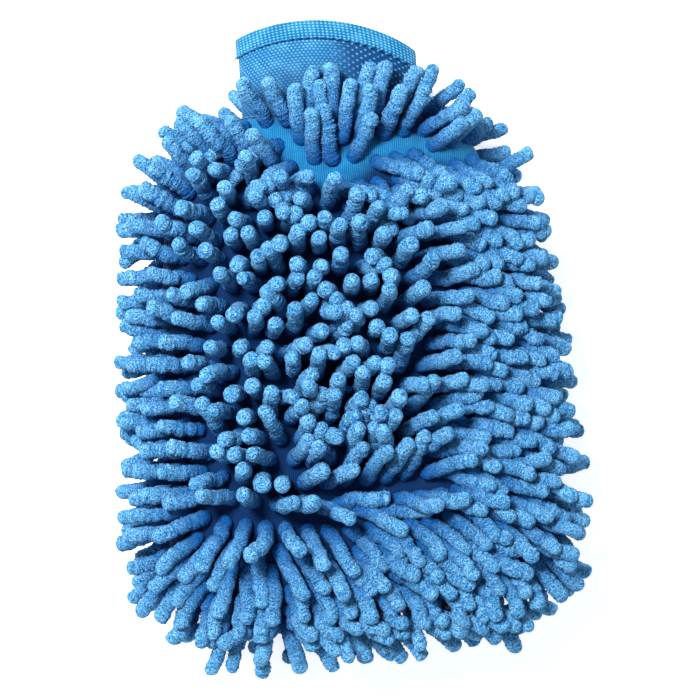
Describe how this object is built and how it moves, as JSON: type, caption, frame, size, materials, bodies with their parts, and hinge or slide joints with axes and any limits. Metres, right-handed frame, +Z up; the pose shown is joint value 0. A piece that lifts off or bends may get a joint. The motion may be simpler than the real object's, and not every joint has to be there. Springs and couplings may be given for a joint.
{
  "type": "wash mitt",
  "caption": "Hand mitt for washing cars: a lined knitted bag with a stretch cuff, covered all over in soft chenille yarn noodles.",
  "frame": {"origin": "on the ground, under the middle of the mitt, which lies on its back", "axes": "+X across the mitt, +Y from the fingers to the cuff, +Z up out of the front"},
  "size_m": [0.2, 0.2738, 0.0878],
  "materials": {
    "noodle_yarn": "fuzzy microfibre chenille",
    "base_knit": "fine ribbed knit",
    "lining": "smooth close knit",
    "cuff_knit": "stretch mesh knit",
    "cuff_elastic": "ribbed elastic knit",
    "thread": "polyester sewing thread"
  },
  "bodies": {
    "root": {"back_liner_panel": "lining", "back_noodle_row_01": "noodle_yarn", "back_noodle_row_02": "noodle_yarn", "back_noodle_row_03": "noodle_yarn", "back_noodle_row_04": "noodle_yarn", "back_noodle_row_05": "noodle_yarn", "back_noodle_row_06": "noodle_yarn", "back_noodle_row_07": "noodle_yarn", "back_noodle_row_08": "noodle_yarn", "back_noodle_row_09": "noodle_yarn", "back_noodle_row_10": "noodle_yarn", "back_noodle_row_11": "noodle_yarn", "back_noodle_row_12": "noodle_yarn", "back_noodle_row_13": "noodle_yarn", "back_noodle_row_14": "noodle_yarn", "back_noodle_row_15": "noodle_yarn", "back_noodle_row_16": "noodle_yarn", "back_noodle_row_17": "noodle_yarn", "back_noodle_row_18": "noodle_yarn", "back_noodle_row_19": "noodle_yarn", "back_noodle_row_20": "noodle_yarn", "back_noodle_row_21": "noodle_yarn", "back_noodles_finger_end": "noodle_yarn", "back_shell_panel": "base_knit", "band_stitches": "thread", "cuff_edge_band": "cuff_elastic", "cuff_join_stitches": "thread", "cuff_tube": "cuff_knit", "front_liner_panel": "lining", "front_noodle_row_01": "noodle_yarn", "front_noodle_row_02": "noodle_yarn", "front_noodle_row_03": "noodle_yarn", "front_noodle_row_04": "noodle_yarn", "front_noodle_row_05": "noodle_yarn", "front_noodle_row_06": "noodle_yarn", "front_noodle_row_07": "noodle_yarn", "front_noodle_row_08": "noodle_yarn", "front_noodle_row_09": "noodle_yarn", "front_noodle_row_10": "noodle_yarn", "front_noodle_row_11": "noodle_yarn", "front_noodle_row_12": "noodle_yarn", "front_noodle_row_13": "noodle_yarn", "front_noodle_row_14": "noodle_yarn", "front_noodle_row_15": "noodle_yarn", "front_noodle_row_16": "noodle_yarn", "front_noodle_row_17": "noodle_yarn", "front_noodle_row_18": "noodle_yarn", "front_noodle_row_19": "noodle_yarn", "front_noodle_row_20": "noodle_yarn", "front_noodle_row_21": "noodle_yarn", "front_noodles_finger_end": "noodle_yarn", "front_shell_panel": "base_knit", "liner_seam_allowance": "lining", "shell_seam_allowance": "base_knit"}
  },
  "joints": []
}
